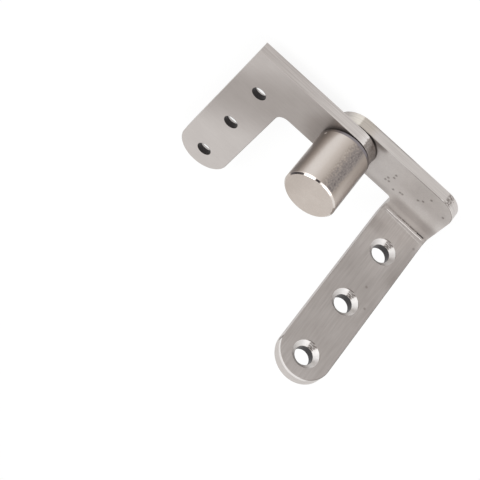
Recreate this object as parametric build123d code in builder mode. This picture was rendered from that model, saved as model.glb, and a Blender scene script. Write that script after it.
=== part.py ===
from build123d import *
import os
from math import isclose

os.makedirs("parts", exist_ok=True)

# Pivot hinge for the foot of a door, in millimetres.
# The origin lies on the pivot axis, in the outer face of the frame leaf, and +Z points up the barrel.
# The frame leaf's arm runs along +X, and the door leaf's arm along -X when the door is shut.

# Plates
plate_t = 5.0
leaf_gap = 0.4
edge_round = 0.3

# Door leaf
door_arm_w = 20.0
door_leg_w = 21.0
door_leg_l = 79.5
door_reach = 46.5
door_corner_r = 4.0
door_screw_d = 5.8
door_screw_pitch = 25.0
door_tip_to_screw = 10.0

# Frame leaf
frame_arm_w = 19.5
frame_reach = 45.75
frame_corner_r = 8.0
frame_neck_r = 2.0
tongue_w = 20.5
tongue_offset = 15.75
tongue_h = 84.5
bend_r = 2.4
frame_screw_d = 7.0
frame_screw_pitch = 27.0
frame_tip_to_screw = 9.5

# Screw seats of both leaves
seat_d = 10.6
seat_angle = 90

# Barrel
barrel_d = 21.0
barrel_l = 25.0
barrel_end_chamfer = 0.7
barrel_root_chamfer = 1.0
spigot_d = 18.0
spigot_l = 1.0
shoulder_bore_d = 13.0
cap_t = 4.0

# Bearings
bearing_bore = 8.0
bearing_od = 16.0
bearing_w = 5.0
bearing_spacing = 7.0
ball_d = 2.4
ball_count = 9
land_gap = 1.4
race_chamfer = 0.3
shield_t = 0.25
shield_inset = 0.2
cage_t = 1.0
cage_w = 3.2

# Pivot pin and what it carries
rivet_d = 9.0
rivet_flare = 0.5
collar_d = 10.6
pin_overhang = 2.2
pin_chamfer = 0.5
ring_t = 0.8
ring_groove_depth = 0.25
ring_reach = 1.25
ring_mouth = 2.4
ring_ear_d = 2.2
ring_ear_hole_d = 1.0
washer_d = 16.0
washer_t = 0.3

# Clearances
seat_clearance = 0.02
running_clearance = 0.1
collar_clearance = 0.3
shield_clearance = 0.15

# Heights that follow
door_z = plate_t + leaf_gap
barrel_z = door_z + plate_t
lower_bearing_z = barrel_z - spigot_l
spacer_z = lower_bearing_z + bearing_w
upper_bearing_z = spacer_z + bearing_spacing
ring_z = upper_bearing_z + bearing_w
pin_top = ring_z + ring_t + pin_overhang
barrel_top = barrel_z + barrel_l

# Places that follow
door_leg_x = door_leg_w / 2 - door_reach
door_tip_y = door_arm_w / 2 - door_leg_l
leg_round_y = door_tip_y + door_leg_w / 2
door_screw_y = [door_tip_y + door_tip_to_screw + i * door_screw_pitch for i in range(3)]
tongue_x = frame_reach - tongue_w / 2
tongue_left = frame_reach - tongue_w
bend_y = bend_r - tongue_offset
bend_z = plate_t + bend_r
bend_outer_r = plate_t + bend_r
tongue_round_z = tongue_h - tongue_w / 2
frame_screw_z = [tongue_h - frame_tip_to_screw - i * frame_screw_pitch for i in range(3)]
pitch_r = (bearing_bore + bearing_od) / 4
inner_land_r = pitch_r - land_gap / 2
outer_land_r = pitch_r + land_gap / 2
groove_r = ball_d / 2 + running_clearance
shaft_r = bearing_bore / 2
groove_bottom_r = shaft_r - ring_groove_depth
groove_top = ring_z + ring_t + 2 * seat_clearance
ring_outer_r = shaft_r + ring_reach
ear_x = (ring_mouth + ring_ear_d) / 2
ear_y = ring_outer_r - ring_reach / 2


def save(builder, label):
    builder.part.label = label
    export_step(builder.part, f"parts/{label}.step")


# True for a line of one of these lengths, which only joins two smooth stretches
def is_seam(edge, *lengths):
    return edge.geom_type == GeomType.LINE and any(isclose(edge.length, one) for one in lengths)


# Door leaf: an L cut from plate, its screw seats opening towards the frame leaf
with BuildPart() as door_leaf:
    with BuildSketch(Plane.XY.offset(door_z)) as door_outline:
        Circle(door_arm_w / 2)
        with Locations((-door_reach / 2, 0)):
            Rectangle(door_reach, door_arm_w)
        with Locations((door_leg_x, (door_arm_w / 2 + leg_round_y) / 2)):
            Rectangle(door_leg_w, door_arm_w / 2 - leg_round_y)
        with Locations((door_leg_x, leg_round_y)):
            Circle(door_leg_w / 2)
        inner_corner = (door_leg_w - door_reach, -door_arm_w / 2, 0)
        fillet(door_outline.vertices().sort_by_distance(inner_corner)[0], door_corner_r)
    extrude(amount=plate_t)
    fillet(door_leaf.faces().filter_by(Axis.Z).edges(), edge_round)
    screw_seats = [Plane((door_leg_x, y, door_z), x_dir=(1, 0, 0), z_dir=(0, 0, -1)) for y in door_screw_y]
    with Locations(*screw_seats):
        CounterSinkHole(door_screw_d / 2, seat_d / 2, plate_t, seat_angle)
    with Locations((0, 0, door_z + plate_t)):
        Hole(collar_d / 2 + collar_clearance, plate_t)
        Hole(spigot_d / 2 + seat_clearance, spigot_l)
save(door_leaf, "door_leaf")

# Frame leaf: a flat arm, a tight bend and a tongue that stands up beside the barrel
with BuildPart() as frame_leaf:
    with BuildSketch() as arm_outline:
        Circle(frame_arm_w / 2)
        with Locations((frame_reach / 2, 0)):
            Rectangle(frame_reach, frame_arm_w)
        with Locations((tongue_x, bend_y / 2)):
            Rectangle(tongue_w, -bend_y)
        far_corner = (frame_reach, frame_arm_w / 2, 0)
        fillet(arm_outline.vertices().sort_by_distance(far_corner)[0], frame_corner_r)
        neck_corner = (tongue_left, -frame_arm_w / 2, 0)
        fillet(arm_outline.vertices().sort_by_distance(neck_corner)[0], frame_neck_r)
    extrude(amount=plate_t)
    with BuildSketch(Plane.YZ.offset(tongue_left)):
        with Locations((bend_y, bend_z)):
            Circle(bend_outer_r)
            Circle(bend_r, mode=Mode.SUBTRACT)
            Rectangle(bend_outer_r, bend_outer_r, align=(Align.MAX, Align.MAX), mode=Mode.INTERSECT)
    extrude(amount=tongue_w)
    with BuildSketch(Plane.XZ.offset(tongue_offset)):
        with Locations((tongue_x, (bend_z + tongue_round_z) / 2)):
            Rectangle(tongue_w, tongue_round_z - bend_z)
        with Locations((tongue_x, tongue_round_z)):
            Circle(tongue_w / 2)
    extrude(amount=plate_t)
    rim = frame_leaf.edges().filter_by(lambda e: not is_seam(e, plate_t, tongue_w))
    fillet(rim, edge_round)
    screw_seats = [Plane((tongue_x, -tongue_offset, z), x_dir=(1, 0, 0), z_dir=(0, 1, 0)) for z in frame_screw_z]
    with Locations(*screw_seats):
        CounterSinkHole(frame_screw_d / 2, seat_d / 2, plate_t, seat_angle)
    with Locations(Plane((0, 0, 0), x_dir=(1, 0, 0), z_dir=(0, 0, -1))):
        CounterSinkHole(rivet_d / 2, rivet_d / 2 + rivet_flare, plate_t, seat_angle)
save(frame_leaf, "frame_leaf")

# Barrel: a turned cup, closed on top, whose mouth is let into the door leaf
with BuildPart() as barrel:
    with BuildSketch(Plane.XY.offset(barrel_z)):
        Circle(barrel_d / 2)
    extrude(amount=barrel_l)
    chamfer(barrel.edges().sort_by(Axis.Z)[-1], barrel_end_chamfer)
    chamfer(barrel.edges().sort_by(Axis.Z)[0], barrel_root_chamfer)
    with BuildSketch(Plane.XY.offset(lower_bearing_z)):
        Circle(spigot_d / 2)
    extrude(amount=spigot_l)
    with BuildSketch(Plane.XY.offset(lower_bearing_z)):
        Circle(bearing_od / 2 + seat_clearance)
    extrude(amount=ring_z - lower_bearing_z, mode=Mode.SUBTRACT)
    with BuildSketch(Plane.XY.offset(ring_z)):
        Circle(shoulder_bore_d / 2)
    extrude(amount=barrel_top - cap_t - ring_z, mode=Mode.SUBTRACT)
save(barrel, "barrel")

# Pivot pin: riveted flush in the frame leaf, with a collar that carries the bearings
with BuildPart() as pivot_pin:
    with BuildSketch(Plane.XZ):
        with BuildLine():
            Polyline(
                (0, 0),
                (rivet_d / 2 + rivet_flare - seat_clearance, 0),
                (rivet_d / 2 - seat_clearance, rivet_flare),
                (rivet_d / 2 - seat_clearance, plate_t),
                (collar_d / 2, plate_t),
                (collar_d / 2, lower_bearing_z),
                (shaft_r, lower_bearing_z),
                (shaft_r, ring_z),
                (groove_bottom_r, ring_z),
                (groove_bottom_r, groove_top),
                (shaft_r, groove_top),
                (shaft_r, pin_top - pin_chamfer),
                (shaft_r - pin_chamfer, pin_top),
                (0, pin_top),
                close=True,
            )
        make_face()
    revolve(axis=Axis.Z)
save(pivot_pin, "pivot_pin")

# Thrust washer between the leaves, round the pin's collar
with BuildPart() as thrust_washer:
    with BuildSketch(Plane.XY.offset(plate_t)):
        Circle(washer_d / 2)
        Circle(collar_d / 2 + running_clearance, mode=Mode.SUBTRACT)
    extrude(amount=washer_t)
save(thrust_washer, "thrust_washer")

# Spacer sleeve between the inner races
with BuildPart() as bearing_spacer:
    with BuildSketch(Plane.XY.offset(spacer_z)):
        Circle(inner_land_r)
        Circle(shaft_r + seat_clearance, mode=Mode.SUBTRACT)
    extrude(amount=bearing_spacing)
save(bearing_spacer, "bearing_spacer")

# Retaining ring: an open spring ring with two eared ends, in the pin's groove
with BuildPart() as retaining_ring:
    with BuildSketch(Plane.XY.offset(ring_z + seat_clearance)):
        Circle(ring_outer_r)
        with Locations((ear_x, ear_y), (-ear_x, ear_y)):
            Circle(ring_ear_d / 2)
            Circle(ring_ear_hole_d / 2, mode=Mode.SUBTRACT)
        Circle(groove_bottom_r + seat_clearance, mode=Mode.SUBTRACT)
        with Locations((0, ear_y)):
            Rectangle(ring_mouth, 2 * ring_reach + ring_ear_d, mode=Mode.SUBTRACT)
    extrude(amount=ring_t)
save(retaining_ring, "retaining_ring")


# One race of a ball bearing, with the groove that its balls run in
def make_race(label, bearing_z, inside_r, outside_r, chamfer_r):
    mid_z = bearing_z + bearing_w / 2
    with BuildPart() as race:
        with BuildSketch(Plane.XZ) as section:
            with Locations(((inside_r + outside_r) / 2, mid_z)):
                Rectangle(outside_r - inside_r, bearing_w)
            corners = section.vertices().filter_by(lambda v: isclose(v.X, chamfer_r))
            chamfer(corners, race_chamfer)
            with Locations((pitch_r, mid_z)):
                Circle(groove_r, mode=Mode.SUBTRACT)
        revolve(axis=Axis.Z)
    save(race, label)


# The ring that spaces the balls, with a pocket for each
def make_cage(label, mid_z):
    with BuildPart() as cage:
        with BuildSketch(Plane.XY.offset(mid_z - cage_w / 2)):
            Circle(pitch_r + cage_t / 2)
            Circle(pitch_r - cage_t / 2, mode=Mode.SUBTRACT)
        extrude(amount=cage_w)
        with Locations((0, 0, mid_z)):
            with PolarLocations(pitch_r, ball_count):
                Cylinder(groove_r, 2 * cage_t, rotation=(0, 90, 0), mode=Mode.SUBTRACT)
    save(cage, label)


def make_balls(label, mid_z):
    with BuildPart() as balls:
        with Locations((0, 0, mid_z)):
            with PolarLocations(pitch_r, ball_count):
                Sphere(ball_d / 2)
    save(balls, label)


# A thin plate held by the outer race, clear of the inner one
def make_shield(label, base_z):
    with BuildPart() as shield:
        with BuildSketch(Plane.XY.offset(base_z)):
            Circle(outer_land_r - seat_clearance)
            Circle(inner_land_r + shield_clearance, mode=Mode.SUBTRACT)
        extrude(amount=shield_t)
    save(shield, label)


# Two sealed ball bearings, one at each end of the barrel's bore
for place, bearing_z in (("lower", lower_bearing_z), ("upper", upper_bearing_z)):
    ball_z = bearing_z + bearing_w / 2
    bore_r = shaft_r + seat_clearance
    seat_r = bearing_od / 2
    make_race(f"{place}_inner_race", bearing_z, bore_r, inner_land_r, bore_r)
    make_race(f"{place}_outer_race", bearing_z, outer_land_r, seat_r, seat_r)
    make_balls(f"{place}_balls", ball_z)
    make_cage(f"{place}_ball_cage", ball_z)
    make_shield(f"{place}_bottom_shield", bearing_z + shield_inset)
    make_shield(f"{place}_top_shield", bearing_z + bearing_w - shield_inset - shield_t)
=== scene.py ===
from math import radians

import bpy
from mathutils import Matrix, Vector

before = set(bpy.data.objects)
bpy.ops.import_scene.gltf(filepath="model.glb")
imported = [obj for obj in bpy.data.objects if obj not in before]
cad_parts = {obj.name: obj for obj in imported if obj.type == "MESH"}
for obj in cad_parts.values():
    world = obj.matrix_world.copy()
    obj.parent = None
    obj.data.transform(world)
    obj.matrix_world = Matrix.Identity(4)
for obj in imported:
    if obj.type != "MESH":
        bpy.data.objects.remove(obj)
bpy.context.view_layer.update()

MM = 0.001

# Camera, at the photograph's angle
CAMERA_PLACE = (-0.0637, 0.5927, 0.4485)
CAMERA_TURN_DEG = (-50.522, 32.148, 28.949)
CAMERA_LENS = 155.04
CAMERA_SENSOR = 36

# Places on the part, in millimetres
DOOR_UNDERSIDE_Z = 5.4
DOOR_END_R = 10
DOOR_HOLE_X = -36
DOOR_FIRST_HOLE_Y = -59.5
DOOR_HOLE_PITCH = 25
DOOR_BORE_R = 2.9
TONGUE_Y = -15.75
TONGUE_HOLE_X = 35.5
TONGUE_FIRST_HOLE_Z = 21
TONGUE_HOLE_PITCH = 27
TONGUE_BORE_R = 3.5
TONGUE_END = (35.5, 74.25)
TONGUE_FROM_Z = 13
ARM_END_Y = -13
SEAT_R = 5.3
FAR_CORNER = (37.75, 1.75)
BARREL_ROOT_Z = 10.4
BARREL_CHAMFER_Z = 34.7

# Noise: how closely it lies along X, Y and Z, in lumps per millimetre, and how much detail it has
COARSE = 2.0
FINE = 3.0
GRAIN = (1.6, 1.6, 1.6)
MARK_DEPTH_MM = 0.01

# How metallic and how rough the steel is
PLATE_METALLIC = 0.8
PLATE_ROUGHNESS = 0.36
FRAME_METALLIC = 0.5
FRAME_ROUGHNESS = 0.42
SEAT_METALLIC = 0.2
BARREL_ROUGHNESS = 0.3
BARREL_RIM_ROUGHNESS = 0.15
BARREL_END_ROUGHNESS = 0.45

# Colours as they look on screen, by level: where the level is, red, green, blue
PLATE_TONES = [(0, 0, 0, 0), (60, 60, 56, 56), (110, 110, 102, 98), (150, 150, 142, 137),
               (180, 180, 173, 169), (210, 210, 204, 200), (255, 255, 252, 250)]
TURNED_TONES = [(0, 0, 0, 0), (60, 60, 54, 55), (115, 115, 107, 105), (140, 140, 132, 128),
                (165, 165, 154, 145), (200, 200, 190, 182), (255, 255, 250, 246)]
# Tints of painted light: beige for the glint and tan reflection at the pivot end, lilac for the reflection
# in the barrel's root band
BEIGE = (1, 0.98, 0.92, 1)
LILAC = (0.97, 1, 1.12, 1)
FULL_LEVEL = 255


def rgb(red, green, blue):
    """A colour as it looks on screen, from 0 to 255, as the linear values that shaders take.

    The numbers in it are those of the sRGB curve.
    """
    def linear(level):
        share = level / FULL_LEVEL
        return share / 12.92 if share <= 0.04045 else ((share + 0.055) / 1.055) ** 2.4
    return (linear(red), linear(green), linear(blue), 1)


class Finish:
    """A steel surface, painted by its level of light on screen, from 0 to 255.

    Its places are in millimetres, in the object's own frame.
    """

    def __init__(self, name, tones=PLATE_TONES, metallic=PLATE_METALLIC, roughness=PLATE_ROUGHNESS):
        self.material = bpy.data.materials.new(name)
        self.material.use_nodes = True
        self.tree = self.material.node_tree
        self.shader = self.tree.nodes["Principled BSDF"]
        self.shader.inputs["Metallic"].default_value = metallic
        self.shader.inputs["Roughness"].default_value = roughness
        self.tones = tones
        place = self.node("ShaderNodeTexCoord", output="Object")
        self.place = self.node("ShaderNodeVectorMath", {0: place, "Scale": 1 / MM}, operation="SCALE")
        self.x, self.y, self.z = self.split(self.place)
        normal = self.node("ShaderNodeTexCoord", output="Normal")
        self.nx, self.ny, self.nz = self.split(normal)

    def node(self, kind, inputs=None, output=0, **settings):
        made = self.tree.nodes.new(kind)
        for name, value in settings.items():
            setattr(made, name, value)
        for key, value in (inputs or {}).items():
            self.feed(made.inputs[key], value)
        return made.outputs[output]

    def feed(self, socket, value):
        if isinstance(value, bpy.types.NodeSocket):
            self.tree.links.new(value, socket)
        else:
            socket.default_value = value

    def split(self, vector):
        parts = self.tree.nodes.new("ShaderNodeSeparateXYZ")
        self.feed(parts.inputs[0], vector)
        return parts.outputs[0], parts.outputs[1], parts.outputs[2]

    def maths(self, operation, *values):
        return self.node("ShaderNodeMath", dict(enumerate(values)), operation=operation)

    def add(self, *values):
        total = values[0]
        for value in values[1:]:
            total = self.maths("ADD", total, value)
        return total

    def times(self, *values):
        product = values[0]
        for value in values[1:]:
            product = self.maths("MULTIPLY", product, value)
        return product

    def magnitude(self, value):
        return self.maths("ABSOLUTE", value)

    def distance(self, du, dv):
        return self.maths("SQRT", self.add(self.times(du, du), self.times(dv, dv)))

    def angle(self, du, dv):
        """Degrees round from +du towards +dv, from -180 to 180."""
        return self.times(self.maths("ARCTAN2", dv, du), 1 / radians(1))

    def rise(self, value, start, end, low=0.0, high=1.0):
        """Low up to start, high from end on, and a smooth step between them."""
        inputs = {"Value": value, "From Min": start, "From Max": end, "To Min": low, "To Max": high}
        return self.node("ShaderNodeMapRange", inputs, interpolation_type="SMOOTHSTEP")

    def band(self, value, start, end, soft, height=1.0):
        """Height between start and end, fading to 0 over soft outside them."""
        up = self.rise(value, start - soft, start)
        down = self.rise(value, end, end + soft, height, 0.0)
        return self.times(up, down)

    def choose(self, share, first, second):
        return self.node("ShaderNodeMix", {0: share, 2: first, 3: second}, data_type="FLOAT")

    def noise(self, closeness, detail=FINE):
        """Noise from 0 to 1."""
        scaled = self.node("ShaderNodeVectorMath", {0: self.place, 1: closeness}, operation="MULTIPLY")
        return self.node("ShaderNodeTexNoise", {"Vector": scaled, "Scale": 1.0, "Detail": detail})

    def noise_at(self, u, v, detail=COARSE):
        """Noise from 0 to 1 over two values of any kind."""
        place = self.node("ShaderNodeCombineXYZ", {0: u, 1: v})
        return self.node("ShaderNodeTexNoise", {"Vector": place, "Scale": 1.0, "Detail": detail})

    def ripple(self, noise, amount):
        """Noise as a change of level, of either sign."""
        return self.maths("MULTIPLY_ADD", noise, 2 * amount, -amount)

    def bump(self, height):
        return self.node("ShaderNodeBump", {"Height": height, "Distance": MARK_DEPTH_MM * MM})

    def on_rim(self, slant):
        """Where a rounded rim turns away from the axis of which slant is the normal's part."""
        return self.band(slant, 0.3, 0.93, 0.05)

    def wrap(self, value, middle, pitch):
        """How far value is past the nearest of the places that repeat at this pitch."""
        return self.maths("WRAP", self.add(value, -middle), pitch / 2, -pitch / 2)

    def nearest(self, across, along, places):
        """Distance from the nearest of these places."""
        least = None
        for u, v in places:
            away = self.distance(self.add(across, -u), self.add(along, -v))
            least = away if least is None else self.maths("MINIMUM", least, away)
        return least

    def profile(self, value, stops):
        """A level that runs smoothly through (value, level) stops."""
        first, last = stops[0][0], stops[-1][0]
        share = self.node("ShaderNodeMapRange", {"Value": value, "From Min": first, "From Max": last})
        points = [((at - first) / (last - first), (level / FULL_LEVEL,) * 3 + (1,)) for at, level in stops]
        return self.times(self.ramp(share, points, "CARDINAL"), FULL_LEVEL)

    def ramp(self, share, points, interpolation):
        made = self.tree.nodes.new("ShaderNodeValToRGB")
        made.color_ramp.interpolation = interpolation
        bars = made.color_ramp.elements
        while len(bars) < len(points):
            bars.new(1.0)
        for bar, (at, colour) in zip(bars, points):
            bar.position = at
            bar.color = colour
        self.feed(made.inputs[0], share)
        return made.outputs[0]

    def paint(self, level, tint=None, share=1.0, **others):
        """Colours the surface by its level and tints a share of it.

        Any other value goes to the shader's socket of that name, with spaces for underscores.
        """
        points = [(at / FULL_LEVEL, rgb(*tone)) for at, *tone in self.tones]
        colour = self.ramp(self.times(level, 1 / FULL_LEVEL), points, "LINEAR")
        if tint is not None:
            inputs = {0: share, 6: colour, 7: tint}
            colour = self.node("ShaderNodeMix", inputs, output=2, data_type="RGBA", blend_type="MULTIPLY")
        self.feed(self.shader.inputs["Base Color"], colour)
        for socket, value in others.items():
            self.feed(self.shader.inputs[socket.replace("_", " ")], value)
        return self.material


# Levels of both leaves and of the door leaf: a drop or a lift is added to what lies under it
# Painted shade in the screw bores
BORE_SHADE_LEVEL = 50
DOOR_LEVEL = 166
DOOR_FOOT_LIGHT_LIFT = 32
DOOR_CORNER_LIGHT_LIFT = 23
DOOR_BARREL_SHADE_DROP = -26
DOOR_SEAT_LEVEL = 165
DOOR_EDGE_LEVEL = 184
DOOR_GAP_SHADOW_LEVEL = 40
DOOR_RIM_SHADE_DROP = -45


def door_face(f, lines, leg_x, from_hole):
    """The plate's faces: painted light at the foot and the outer corner, painted shade round the barrel."""
    cloud = f.noise((0.12, 0.12, 0.12))
    from_axis = f.distance(f.x, f.y)
    # Painted light towards the foot and the outer corner, painted shade round the barrel
    foot_light = f.rise(f.add(f.y, f.times(leg_x, -0.6)), -16, -46, 0, DOOR_FOOT_LIGHT_LIFT)
    corner = f.rise(f.add(f.y, f.times(leg_x, -0.9)), -8, 15, 0, DOOR_CORNER_LIGHT_LIFT)
    shade = f.rise(from_axis, 21, 11, 0, DOOR_BARREL_SHADE_DROP)
    face = f.add(f.ripple(cloud, 5), f.ripple(lines, 6), foot_light, corner, shade, DOOR_LEVEL)
    under = f.rise(f.z, DOOR_UNDERSIDE_Z + 3, DOOR_UNDERSIDE_Z + 2.6)
    in_seat = f.times(under, f.rise(from_hole, SEAT_R + 0.1, SEAT_R))
    return f.choose(in_seat, face, DOOR_SEAT_LEVEL)


def door_edge(f):
    """The sawn edge: long fine lines, lighter towards the round end, with a painted highlight brightest
    just before a darker grainy patch on the round end, and a painted shadow along the round end's lower
    lip.
    """
    saw = f.noise((0.05, 0.6, 2.2))
    grain = f.noise(GRAIN)
    turn = f.angle(f.x, f.y)
    along = f.rise(f.x, -34, 2, 0, 16)
    # Lighter towards the round end, with a painted highlight where the round end starts
    edge = f.add(f.ripple(saw, 34), along, f.rise(f.x, -1, 3, 0, 24), DOOR_EDGE_LEVEL)
    round_end = f.rise(f.x, 1.0, 2.4)
    # A darker grainy patch on the round end, up to 75 degrees round, darkest towards +X
    in_dark = f.times(round_end, f.rise(f.add(turn, f.ripple(grain, 5)), 75, 70))
    edge = f.choose(in_dark, edge, f.add(f.ripple(grain, 46), f.rise(turn, 6, 36, 104, 146)))
    # Painted shadow of the gap between the leaves, along the round end's lower lip
    gap_shadow = f.times(f.rise(f.x, 0, 2), f.rise(f.z, DOOR_UNDERSIDE_Z + 0.35, DOOR_UNDERSIDE_Z + 0.15))
    return f.choose(gap_shadow, edge, DOOR_GAP_SHADOW_LEVEL)


def door_leaf_finish():
    f = Finish("door_leaf_brushed")
    lines = f.noise((0.15, 2.4, 0.15))
    leg_x = f.add(f.x, -DOOR_HOLE_X)
    from_hole = f.distance(leg_x, f.wrap(f.y, DOOR_FIRST_HOLE_Y, DOOR_HOLE_PITCH))
    on_face = f.rise(f.magnitude(f.nz), 0.55, 0.8)
    level = f.choose(on_face, door_edge(f), door_face(f, lines, leg_x, from_hole))
    # Painted shade on the leg's rounded rims that turn towards +X
    rim = f.times(f.on_rim(f.nz), f.rise(f.nx, 0.2, 0.4), f.rise(f.x, -22, -24))
    level = f.add(level, f.times(rim, DOOR_RIM_SHADE_DROP))
    # The bores painted dark, as the shade inside them
    bore = f.rise(from_hole, DOOR_BORE_R + 0.1, DOOR_BORE_R + 0.03)
    return f.paint(f.choose(bore, level, BORE_SHADE_LEVEL), Normal=f.bump(lines))


# Levels of the frame leaf
ARM_LEVEL = 200
ARM_FAR_SHADE_DROP = -20
ARM_BEND_SHADE_DROP = -34
ARM_NEAR_SHADE_DROP = -18
ARM_OUTER_LIGHT_LIFT = 24
ARM_END_DROP = -10
ARM_PIT_DROP = -52
LEAF_SHADOW_DROP = -55
LEAF_SHADOW_LINE_DROP = -80
TONGUE_LEVEL = 171
TONGUE_SIDE_SHADE_DROP = -27
TONGUE_HOLE_DROP = -12
TONGUE_PIT_DROP = -26
CREASE_HIGHLIGHT_LIFT = 95
TRAIL_LIGHT_LIFT = 34
EDGE_LEVEL = 205
GLINT_LIFT = 31
TAN_REFLECTION_DROP = -12
LOWER_RIM_SHADE_DROP = -60
SCAR_DROP = -68
SLIVER_HIGHLIGHT_LIFT = 40
TONGUE_EDGE_LEVEL = 192
TONGUE_END_LIGHT_LIFT = 14
FACE_SIDE_HIGHLIGHT_LIFT = 30
NOTCH_DROP = -90
RIM_SHADE_DROP = -60
CHATTER_DROP = -110

# Small pits in the frame leaf, where the photograph shows them
ARM_PITS = [(18.3, -3.4), (18.5, -1.6), (19.7, -3.0), (20.1, 0.6), (19.9, 2.4), (23.1, -4.9),
            (25.6, -3.6), (26.6, -3.4), (31.9, 0.2), (33.4, 1.7), (35, 5.5), (42.6, 2.5)]
TONGUE_PITS = [(38.5, 37.1), (42.6, 44.6), (44, 10.8)]
PIT_R = 0.75

# A screw seat's painted reflections: degrees round it from +X, and the level there
SEAT_REFLECTIONS = [(-180, 228), (-150, 240), (-122, 253), (-90, 215), (-70, 236), (-45, 255), (-28, 255),
             (-5, 213), (25, 238), (50, 205), (75, 150), (130, 140), (150, 192), (180, 228)]


def pits(f, across, along, places, grain, drop):
    away = f.add(f.nearest(across, along, places), f.ripple(grain, 0.3))
    return f.rise(away, PIT_R, PIT_R / 3, 0, drop)


def arm_face(f, cloud, mottle, grain):
    """The arm's top, with painted light and shade: lighter away from the pivot, darker by the far edge, the
    bend and the near side.
    """
    # Painted shade towards the far edge, by the bend and by the near side
    far = f.times(f.rise(f.x, 19, 29), f.rise(f.y, -4, 2))
    before_groove = f.rise(f.y, -10.5, -12.5, 1, 0.55)
    by_bend = f.times(f.rise(f.y, -5, -8.5), before_groove, f.rise(f.x, 23, 28))
    near_side = f.times(f.rise(f.y, -6, -8.5), f.rise(f.x, 25, 22))
    # Painted light from x 19 to 28 on, against the tongue's dark reflection and shade
    outer = f.rise(f.x, 19, 28, 0, ARM_OUTER_LIGHT_LIFT)
    end = f.rise(f.x, 38, 43, 0, ARM_END_DROP)
    arm = f.add(f.ripple(cloud, 7), f.ripple(mottle, 6), f.times(far, ARM_FAR_SHADE_DROP))
    arm = f.add(arm, f.times(by_bend, ARM_BEND_SHADE_DROP), ARM_LEVEL)
    arm = f.add(arm, f.times(near_side, ARM_NEAR_SHADE_DROP), outer, end, f.ripple(grain, 8))
    on_top = f.rise(f.nz, 0, 0.5)
    arm = f.add(arm, f.times(on_top, door_leaf_shade(f, mottle)))
    return f.add(arm, f.times(on_top, pits(f, f.x, f.y, ARM_PITS, grain, ARM_PIT_DROP)))


def door_leaf_shade(f, mottle):
    """By the door leaf's round end, painted shadow: a dark patch at the arm's edge, and a dark line under
    the leaf.
    """
    # Painted shadow of the door leaf's round end on the arm
    shadow_patch = f.rise(f.add(f.x, f.ripple(mottle, 2)), 13, 9)
    shadow_patch = f.times(shadow_patch, f.rise(f.y, 6.5, 9), LEAF_SHADOW_DROP)
    from_axis = f.distance(f.x, f.y)
    line = f.rise(from_axis, DOOR_END_R + 0.5, DOOR_END_R + 0.1, 0, LEAF_SHADOW_LINE_DROP)
    return f.add(shadow_patch, f.times(f.rise(f.x, 1, 3), line))


def tongue_face(f, cloud, brush, grain):
    """The tongue's face: brushed along its length, with painted light towards the bend and painted shade
    along its side.
    """
    # Painted shade along the side, low on the tongue
    by_side = f.times(f.rise(f.x, 38, 45), f.band(f.z, 15, 24, 11), TONGUE_SIDE_SHADE_DROP)
    by_hole = f.times(f.rise(f.x, 34, 29), f.band(f.z, 13, 15, 3), TONGUE_HOLE_DROP)
    # Painted light towards the bend, against the arm's shade and reflection
    towards_bend = f.add(f.rise(f.z, 12, 8.5, 0, 8), f.rise(f.z, 38, 10, 0, 36))
    ends = f.add(f.times(f.rise(f.z, 5.9, 7.4), towards_bend), f.rise(f.z, 74, 84, 0, 6))
    tongue = f.add(f.ripple(cloud, 6), f.ripple(brush, 15), ends, by_side, by_hole, TONGUE_LEVEL)
    on_front = f.rise(f.ny, 0, 0.5)
    return f.add(tongue, f.times(on_front, pits(f, f.x, f.z, TONGUE_PITS, grain, TONGUE_PIT_DROP)))


def bend_marks_and_highlights(f, grain):
    """The inside of the bend: a painted highlight along the crease, between a dark groove and a soft trail
    of painted light.
    """
    wave = f.ripple(f.noise((0.18, 0, 0), COARSE), 0.25)
    round_bend = f.add(f.y, f.times(f.z, -1), wave)
    reach = f.band(f.x, 27.4, 43.9, 0.7)
    broken = f.rise(f.noise((0.9, 0, 0), COARSE), 0.3, 0.5, 0.5, 1.0)
    # Painted highlight along the crease
    crease_highlight = f.times(f.band(round_bend, -21.15, -21.05, 0.12), reach, broken, CREASE_HIGHLIGHT_LIFT)
    depth = f.add(f.rise(f.x, 30, 34, -15, -60), f.rise(f.x, 40.3, 41.6, 0, -75))
    groove = f.times(f.band(round_bend, -19.95, -19.5, 0.25), reach, f.rise(grain, 0.3, 0.5), depth)
    slant = f.add(round_bend, f.times(f.add(f.x, -28.7), 0.06))
    # A soft trail of painted light below the crease
    light_trail = f.times(f.band(slant, -22.1, -22.0, 0.14), reach, broken, TRAIL_LIGHT_LIFT)
    return f.add(crease_highlight, groove, light_trail)


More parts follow.
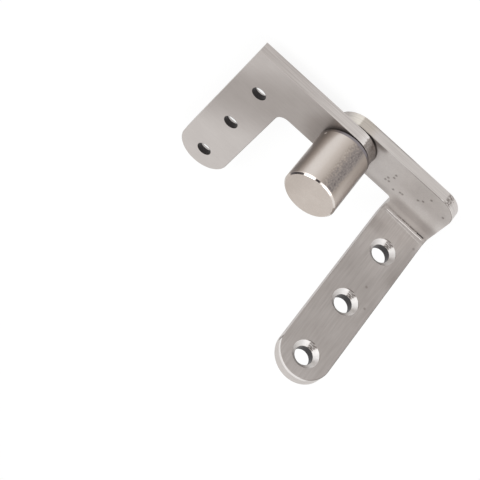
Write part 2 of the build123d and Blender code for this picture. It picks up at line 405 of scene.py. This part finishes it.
def arm_edge(f, glint, tan, grain):
    """The arm's sawn edge: a painted glint and a painted tan reflection at the pivot end, painted shade
    along the lower rim, and a scar at the far corner with painted highlights round it.
    """
    saw = f.noise((0.05, 0.05, 2.2))
    # Painted shade along the edge's lower rim
    low = f.times(f.rise(f.z, 0.65, 0.35), f.rise(f.ny, 0.3, 0.6))
    lower_rim_shade = f.times(low, f.band(f.x, 5, 18, 6, LOWER_RIM_SHADE_DROP))
    # Painted glint and painted tan reflection at the pivot end
    edge = f.add(f.ripple(saw, 24), f.times(glint, GLINT_LIFT), f.times(tan, TAN_REFLECTION_DROP))
    edge = f.add(edge, lower_rim_shade, EDGE_LEVEL)
    turn = f.angle(f.add(f.x, -FAR_CORNER[0]), f.add(f.y, -FAR_CORNER[1]))
    scar = f.times(f.band(f.add(turn, f.ripple(grain, 14)), 70, 86, 4), f.rise(f.x, 36, 38))
    scar = f.times(scar, f.rise(grain, 0.4, 0.6))
    # Painted highlights at the far corner: a bright sliver along the top, and a lighter corner
    sliver_highlight = f.times(f.band(turn, 40, 95, 6), f.rise(f.x, 35, 37), f.rise(f.z, 4.5, 4.7), SLIVER_HIGHLIGHT_LIFT)
    corner = f.times(f.rise(turn, 66, 58), f.rise(f.x, 38, 40), 8)
    return f.add(edge, f.times(scar, SCAR_DROP), sliver_highlight, corner)


def tongue_edge(f, grain):
    """The tongue's sawn edge: painted light at its round end, a painted highlight beside the face there,
    and a notch.
    """
    turn = f.angle(f.add(f.x, -TONGUE_END[0]), f.add(f.z, -TONGUE_END[1]))
    # Painted light at the round end, and a painted highlight beside the face
    at_end = f.rise(f.z, TONGUE_END[1] - 3, TONGUE_END[1])
    by_face = f.times(at_end, f.rise(f.y, TONGUE_Y - 1.6, TONGUE_Y - 1), f.band(turn, 60, 165, 10))
    by_face = f.times(by_face, FACE_SIDE_HIGHLIGHT_LIFT)
    notch = f.band(f.add(turn, f.ripple(grain, 4)), 169, 175, 2)
    notch = f.times(notch, f.rise(f.y, TONGUE_Y - 4, TONGUE_Y - 2), NOTCH_DROP)
    lumps = f.ripple(f.noise((0.4, 2.4, 0.4), COARSE), 12)
    return f.add(lumps, f.times(at_end, TONGUE_END_LIGHT_LIFT), by_face, notch, TONGUE_EDGE_LEVEL)


def frame_side(f, on_tongue):
    """Where the surface is a sawn edge: across the arm's faces or the tongue's, but not inside the bend."""
    arm_side = f.rise(f.magnitude(f.nz), 0.75, 0.5)
    tongue_side = f.rise(f.magnitude(f.ny), 0.75, 0.5)
    by_bend = f.times(f.rise(f.z, 8.5, 7.4), f.rise(f.y, ARM_END_Y, ARM_END_Y - 0.4))
    in_bend = f.times(by_bend, f.rise(f.magnitude(f.nx), 0.7, 0.5))
    return f.times(f.choose(on_tongue, arm_side, tongue_side), f.maths("SUBTRACT", 1, in_bend))


def frame_rims(f, on_tongue):
    """The rounded rims, with painted shade: darker on the tongue's outer side and on both sides of the arm.
    """
    front = f.times(on_tongue, f.on_rim(f.ny), f.rise(f.nx, 0.2, 0.4, 0, RIM_SHADE_DROP))
    top = f.times(f.on_rim(f.nz), f.rise(f.y, ARM_END_Y - 0.4, ARM_END_Y))
    near_shade = f.rise(f.ny, -0.1, -0.3, 0, RIM_SHADE_DROP)
    far_shade = f.times(f.rise(f.ny, 0.1, 0.3), f.rise(f.x, 18, 26, -12, -55))
    return front, f.times(top, f.add(near_shade, far_shade))


def add_screw_seats(f, level):
    """Seats with painted reflections round them, chatter marks on the side towards the bend, painted shade
    at their rims, and their bores painted dark as shade.

    Gives the level with them, and where they are.
    """
    across = f.add(f.x, -TONGUE_HOLE_X)
    along = f.wrap(f.z, TONGUE_FIRST_HOLE_Z, TONGUE_HOLE_PITCH)
    from_hole = f.distance(across, along)
    turn = f.angle(across, along)
    by_holes = f.rise(f.z, TONGUE_FROM_Z, TONGUE_FROM_Z + 1)
    on_seats = f.times(by_holes, f.rise(f.y, TONGUE_Y - 2.3, TONGUE_Y - 1.9))
    chatter = f.noise_at(f.times(from_hole, 4.5), f.times(turn, 0.04))
    # Painted reflections round the seat
    seat = f.add(f.profile(turn, SEAT_REFLECTIONS), f.ripple(chatter, 12))
    seat = f.add(seat, f.times(f.band(turn, -97, -72, 9), f.rise(chatter, 0.38, 0.52), CHATTER_DROP))
    in_seat = f.times(on_seats, f.rise(from_hole, SEAT_R + 0.02, SEAT_R - 0.05))
    level = f.choose(in_seat, level, seat)
    # Painted shade at the seats' rims
    rim_shade = f.add(f.band(turn, -110, -88, 8, -55), f.band(turn, -38, -22, 8, -25))
    rim = f.times(on_seats, f.band(from_hole, SEAT_R + 0.02, SEAT_R + 0.25, 0.12), rim_shade)
    bore = f.times(by_holes, f.rise(from_hole, TONGUE_BORE_R + 0.1, TONGUE_BORE_R + 0.03))
    return f.choose(bore, f.add(level, rim), BORE_SHADE_LEVEL), in_seat


def frame_leaf_finish():
    f = Finish("frame_leaf_brushed", metallic=FRAME_METALLIC, roughness=FRAME_ROUGHNESS)
    cloud = f.noise((0.14, 0.14, 0.14))
    mottle = f.noise((0.5, 0.5, 0.5))
    grain = f.noise(GRAIN)
    brush = f.noise((1.7, 1.7, 0.1))
    on_tongue = f.rise(f.y, TONGUE_Y + 2.4, TONGUE_Y + 1.2)
    on_tongue = f.maths("MAXIMUM", on_tongue, f.rise(f.z, 6.4, 7.6))
    face = f.choose(on_tongue, arm_face(f, cloud, mottle, grain), tongue_face(f, cloud, brush, grain))
    plate = f.add(face, bend_marks_and_highlights(f, grain))

    turn = f.angle(f.x, f.y)
    # Painted glint and painted tan reflection at the pivot end
    by_pivot = f.rise(f.x, 14, 8)
    glint = f.times(f.rise(turn, 103, 109), f.rise(turn, 154, 116), by_pivot)
    tan = f.times(f.rise(turn, 60, 84), f.rise(turn, 109, 103), by_pivot)
    edge = f.choose(on_tongue, arm_edge(f, glint, tan, grain), tongue_edge(f, grain))
    side = frame_side(f, on_tongue)
    level = f.add(f.choose(side, plate, edge), *frame_rims(f, on_tongue))
    level, in_seat = add_screw_seats(f, level)
    metallic = f.choose(in_seat, FRAME_METALLIC, SEAT_METALLIC)
    # Share of beige tint, on the painted glint and tan reflection
    beige = f.times(f.add(glint, tan), side)
    return f.paint(level, BEIGE, beige, Metallic=metallic, Normal=f.bump(brush))


# The barrel's painted reflections, light and dark bands round the side and glints on the rim: degrees round
# it from +X, and the level there
BARREL_SIDE_REFLECTIONS = [(-180, 196), (-120, 150), (-70, 200), (-30, 160), (10, 136), (28, 162), (44, 185), (58, 155),
               (70, 132), (92, 169), (113, 210), (138, 206), (150, 163), (160, 147), (170, 152), (180, 196)]
BARREL_RIM_GLINTS = [(-180, 190), (-60, 215), (20, 205), (35, 222), (60, 224), (74, 230), (80, 248), (93, 252),
              (96, 85), (104, 80), (107, 250), (130, 255), (134, 90), (165, 84), (172, 190), (180, 190)]
# Painted reflection in the band at the root, and a painted shadow line where the barrel meets the leaf
ROOT_REFLECTION_BAND = [(-180, 125), (20, 112), (50, 124), (100, 140), (125, 136), (140, 160), (155, 124), (180, 125)]
ROOT_BAND_Z = 12.5
ROOT_SHADOW_DROP = -70
# A painted glint by the root
GLINT_TURN = 157
GLINT_Z = 13.4
GLINT_LEVEL = 250
END_FACE_LEVEL = 201


def barrel_finish():
    """Turned steel with painted reflections: light and dark bands and a grainy dark streak round its side,
    a band at its root with a painted shadow line and a painted glint, painted glints on its rim, and a
    plain end face.
    """
    f = Finish("barrel_turned", TURNED_TONES, roughness=BARREL_ROUGHNESS)
    turn = f.angle(f.x, f.y)
    grain = f.noise((1.5, 1.5, 1.1))
    # A grainy dark streak of painted reflection, and painted light higher up the side
    streak_reflection = f.times(f.band(turn, 66, 88, 10), f.ripple(grain, 44))
    upper = f.times(f.rise(f.z, 18, 31), f.band(turn, 30, 60, 8), 12)
    side = f.add(f.profile(turn, BARREL_SIDE_REFLECTIONS), streak_reflection, f.ripple(grain, 3), upper)
    # Painted shadow line at the joint with the leaf
    root_shadow = f.rise(f.z, BARREL_ROOT_Z + 0.1, BARREL_ROOT_Z + 0.8, ROOT_SHADOW_DROP, 0)
    in_band = f.rise(f.z, ROOT_BAND_Z, ROOT_BAND_Z - 0.15)
    level = f.choose(in_band, side, f.add(f.profile(turn, ROOT_REFLECTION_BAND), root_shadow))
    glint = f.distance(f.times(f.add(turn, -GLINT_TURN), 0.18), f.add(f.z, -GLINT_Z))
    level = f.choose(f.rise(glint, 0.75, 0.3), level, GLINT_LEVEL)
    rim = f.rise(f.z, BARREL_CHAMFER_Z + 0.1, BARREL_CHAMFER_Z + 0.2)
    level = f.choose(rim, level, f.profile(turn, BARREL_RIM_GLINTS))
    cloud = f.noise((0.3, 0.3, 0.3))
    end = f.add(f.ripple(cloud, 6), f.ripple(grain, 8), f.rise(f.x, 0, -8, 0, -11), END_FACE_LEVEL)
    on_end = f.rise(f.nz, 0.8, 0.95)
    level = f.choose(on_end, level, end)
    roughness = f.choose(rim, BARREL_ROUGHNESS, BARREL_RIM_ROUGHNESS)
    roughness = f.choose(on_end, roughness, BARREL_END_ROUGHNESS)
    # Lilac tint of the painted reflection in the root band
    lilac = f.times(in_band, f.band(turn, 55, 130, 15))
    return f.paint(level, LILAC, lilac, Roughness=roughness, Normal=f.bump(grain))


def inner_finish(name, level, roughness, closeness):
    """Turned or ground steel, with fine marks."""
    f = Finish(name, roughness=roughness)
    marks = f.noise(closeness, COARSE)
    return f.paint(f.add(f.ripple(marks, 10), level), Normal=f.bump(marks))


def dress(node, material):
    """Puts a material in every slot of a CAD node."""
    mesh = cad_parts[node].data
    mesh.materials.clear()
    mesh.materials.append(material)


dress("door_leaf", door_leaf_finish())
dress("frame_leaf", frame_leaf_finish())
dress("barrel", barrel_finish())

# Inner pieces: level, roughness, and how closely their marks lie along each axis
TURNED = (0.3, 0.3, 6)
PLAIN = (3, 3, 3)
INNER = {
    "pivot_pin": (178, 0.3, TURNED),
    "thrust_washer": (150, 0.4, PLAIN),
    "bearing_spacer": (172, 0.3, TURNED),
    "retaining_ring": (70, 0.45, PLAIN),
}
for place in ("lower", "upper"):
    INNER[f"{place}_inner_race"] = (198, 0.18, TURNED)
    INNER[f"{place}_outer_race"] = (198, 0.18, TURNED)
    INNER[f"{place}_balls"] = (218, 0.06, PLAIN)
    INNER[f"{place}_ball_cage"] = (172, 0.4, PLAIN)
    INNER[f"{place}_bottom_shield"] = (178, 0.35, PLAIN)
    INNER[f"{place}_top_shield"] = (178, 0.35, PLAIN)
for node, (level, roughness, closeness) in INNER.items():
    dress(node, inner_finish(f"{node}_steel", level, roughness, closeness))


# Floor, backdrop and light
FLOOR_DROP = 0.00005
FLOOR_SIZE = 6
FLOOR_COLOUR = (0.86, 0.86, 0.86, 1)
SHADOW_SHARE = 0.18
FLOOR_GLOW = 1.09
ROOM_LIGHT = 0.6
WHITE = (1, 1, 1, 1)

# Lamps: place, and watts
SOFTBOX_SIZE = 0.6
SOFTBOXES = {
    "left_softbox": ((-0.6, 0.35, 0.75), 2.0),
    "right_softbox": ((0.5, 0.45, 0.75), 1.6),
}


def link_seen_rays(tree, share, target):
    """Feeds share to target on rays that show the backdrop: from the camera, mirrored or through glass."""
    ray = tree.nodes.new("ShaderNodeLightPath")
    seen = ray.outputs["Is Camera Ray"]
    for kind in ("Is Glossy Ray", "Is Transmission Ray"):
        either = tree.nodes.new("ShaderNodeMath")
        either.operation = "MAXIMUM"
        tree.links.new(seen, either.inputs[0])
        tree.links.new(ray.outputs[kind], either.inputs[1])
        seen = either.outputs[0]
    scaled = tree.nodes.new("ShaderNodeMath")
    scaled.operation = "MULTIPLY"
    tree.links.new(seen, scaled.inputs[0])
    scaled.inputs[1].default_value = share
    tree.links.new(scaled.outputs[0], target)


def mix_seen(tree, share, lighting, seen, output):
    """Gives the output the lighting shader, and a share of the seen one on rays that show the backdrop."""
    both = tree.nodes.new("ShaderNodeMixShader")
    link_seen_rays(tree, share, both.inputs[0])
    tree.links.new(lighting.outputs[0], both.inputs[1])
    tree.links.new(seen.outputs[0], both.inputs[2])
    out = tree.nodes.new(output)
    tree.links.new(both.outputs[0], out.inputs["Surface"])


def make_floor():
    bpy.ops.mesh.primitive_plane_add(size=FLOOR_SIZE, location=(0, 0, -FLOOR_DROP))
    floor = bpy.context.object
    floor.name = "floor"
    material = bpy.data.materials.new("floor_white")
    material.use_nodes = True
    tree = material.node_tree
    tree.nodes.clear()
    matt = tree.nodes.new("ShaderNodeBsdfDiffuse")
    matt.inputs["Color"].default_value = FLOOR_COLOUR
    glow = tree.nodes.new("ShaderNodeEmission")
    glow.inputs["Color"].default_value = WHITE
    glow.inputs["Strength"].default_value = FLOOR_GLOW
    mix_seen(tree, 1 - SHADOW_SHARE, matt, glow, "ShaderNodeOutputMaterial")
    floor.data.materials.append(material)


def make_world():
    world = bpy.data.worlds.new("studio")
    bpy.context.scene.world = world
    world.use_nodes = True
    tree = world.node_tree
    tree.nodes.clear()
    room = tree.nodes.new("ShaderNodeBackground")
    room.inputs["Color"].default_value = WHITE
    room.inputs["Strength"].default_value = ROOM_LIGHT
    white = tree.nodes.new("ShaderNodeBackground")
    white.inputs["Color"].default_value = WHITE
    mix_seen(tree, 1, room, white, "ShaderNodeOutputWorld")


def make_softbox(name, place, watts):
    """A square area lamp that looks at the pivot."""
    lamp = bpy.data.lights.new(name, "AREA")
    lamp.shape = "SQUARE"
    lamp.size = SOFTBOX_SIZE
    lamp.energy = watts
    holder = bpy.data.objects.new(name, lamp)
    holder.location = place
    holder.rotation_euler = Vector(place).to_track_quat("Z", "Y").to_euler()
    bpy.context.scene.collection.objects.link(holder)


def make_camera():
    data = bpy.data.cameras.new("camera")
    data.lens = CAMERA_LENS
    data.sensor_width = CAMERA_SENSOR
    camera = bpy.data.objects.new("camera", data)
    camera.location = CAMERA_PLACE
    camera.rotation_euler = [radians(turn) for turn in CAMERA_TURN_DEG]
    bpy.context.scene.collection.objects.link(camera)
    bpy.context.scene.camera = camera


make_floor()
make_world()
for name, (place, watts) in SOFTBOXES.items():
    make_softbox(name, place, watts)
make_camera()
bpy.context.scene.view_settings.view_transform = "Standard"
